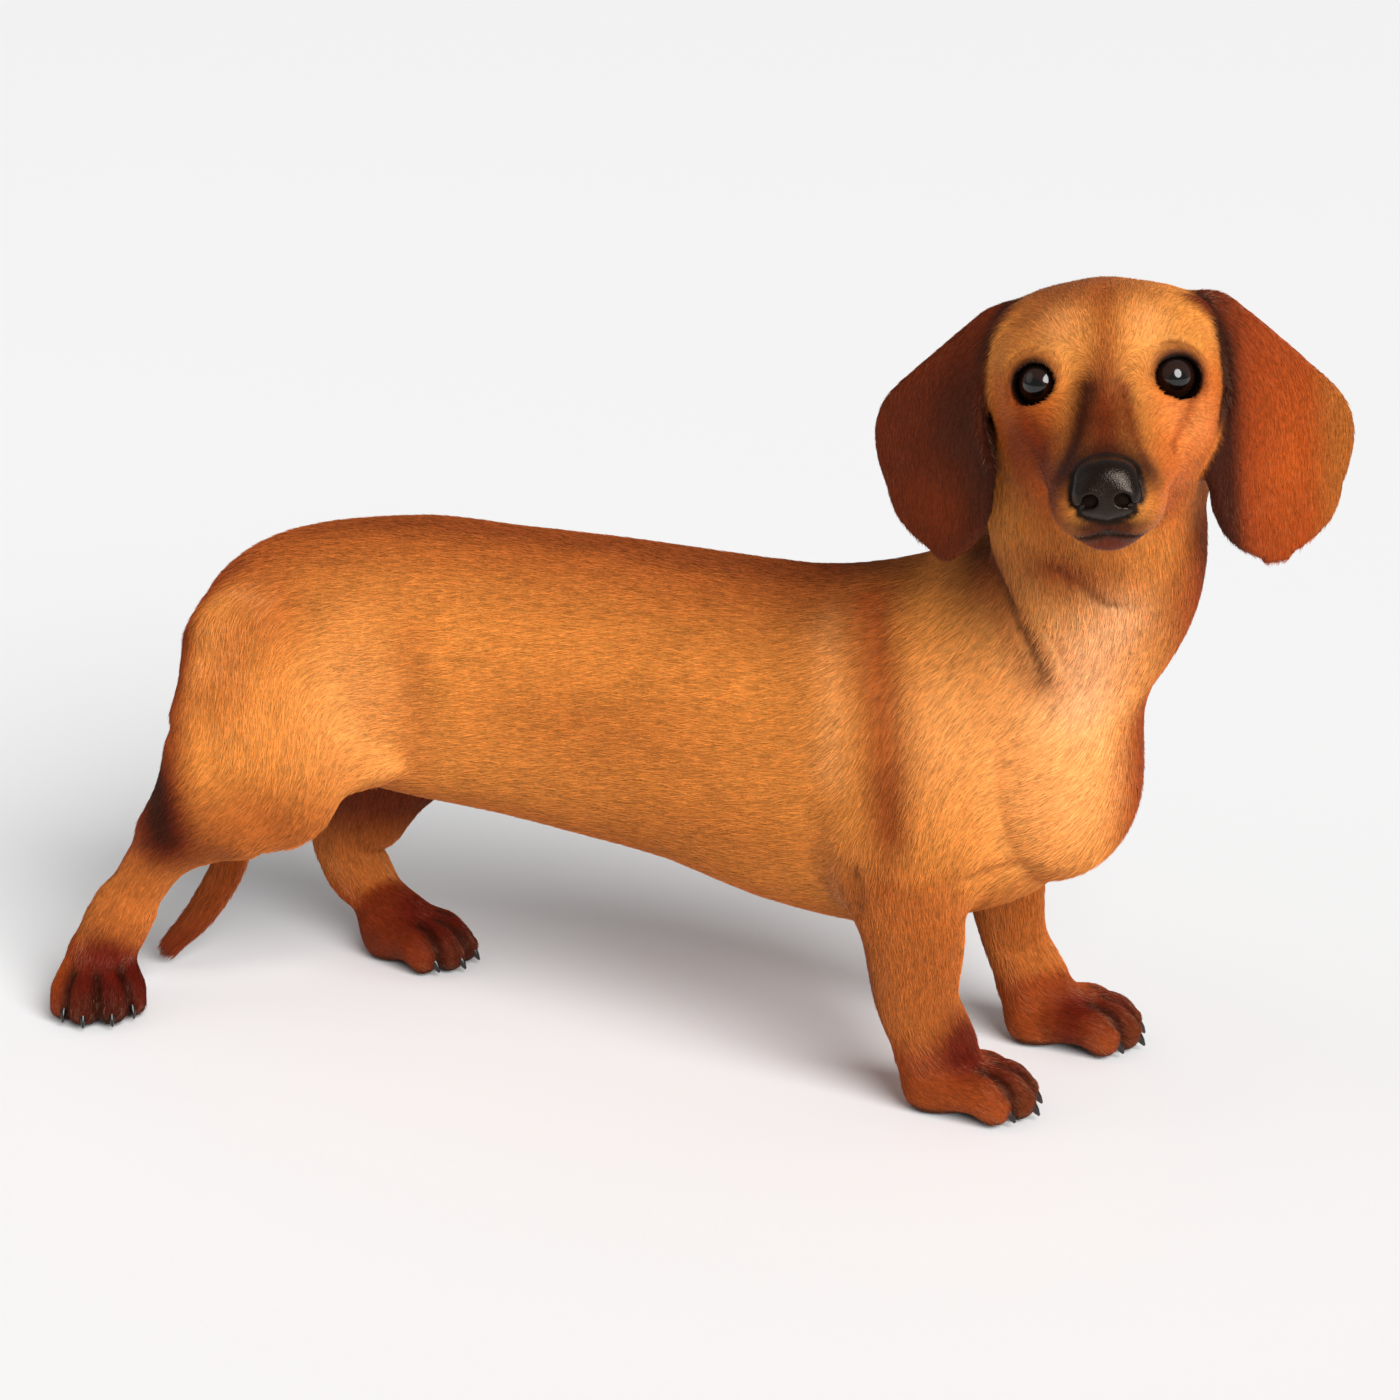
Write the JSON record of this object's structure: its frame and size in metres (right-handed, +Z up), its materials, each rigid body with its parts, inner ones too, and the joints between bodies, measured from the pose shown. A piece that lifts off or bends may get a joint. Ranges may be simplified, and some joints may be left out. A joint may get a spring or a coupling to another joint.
{
  "type": "dog, still life-size model",
  "caption": "Life-size still model of a smooth-haired red miniature dachshund, standing square on its feet with its head turned to its right.",
  "frame": {"origin": "on the floor, under the middle of the bounding box", "axes": "+X forward along the trunk, +Y to the left of the body, +Z up"},
  "size_m": [0.5036, 0.2093, 0.3223],
  "materials": {
    "fur": "short flat coat, golden red, satin sheen",
    "dark_fur": "short flat coat, dark red-brown",
    "pale_fur": "short flat coat, paler on the throat",
    "nose_leather": "moist black nose leather, fine pebbled",
    "eye": "wet gloss, very dark brown",
    "claw": "dark horn, satin"
  },
  "bodies": {
    "root": {"nose": "nose_leather", "muzzle": "dark_fur", "lower_jaw": "fur", "head": "fur", "fore_paw_right": "dark_fur", "fore_leg_right": "fur", "fore_paw_left": "dark_fur", "fore_leg_left": "fur", "hind_paw_right": "dark_fur", "hind_leg_right": "fur", "hind_paw_left": "dark_fur", "hind_leg_left": "fur", "tail_tip": "fur", "tail_base": "fur", "thigh_right": "fur", "thigh_left": "fur", "neck": "pale_fur", "chest": "fur", "barrel": "fur", "hindquarters": "fur", "eye_right": "eye", "eye_left": "eye", "ear_right": "dark_fur", "ear_left": "dark_fur", "claw_fore_right_1": "claw", "claw_fore_right_2": "claw", "claw_fore_right_3": "claw", "claw_fore_right_4": "claw", "claw_fore_left_1": "claw", "claw_fore_left_2": "claw", "claw_fore_left_3": "claw", "claw_fore_left_4": "claw", "claw_hind_right_1": "claw", "claw_hind_right_2": "claw", "claw_hind_right_3": "claw", "claw_hind_right_4": "claw", "claw_hind_left_1": "claw", "claw_hind_left_2": "claw", "claw_hind_left_3": "claw", "claw_hind_left_4": "claw"}
  },
  "joints": []
}
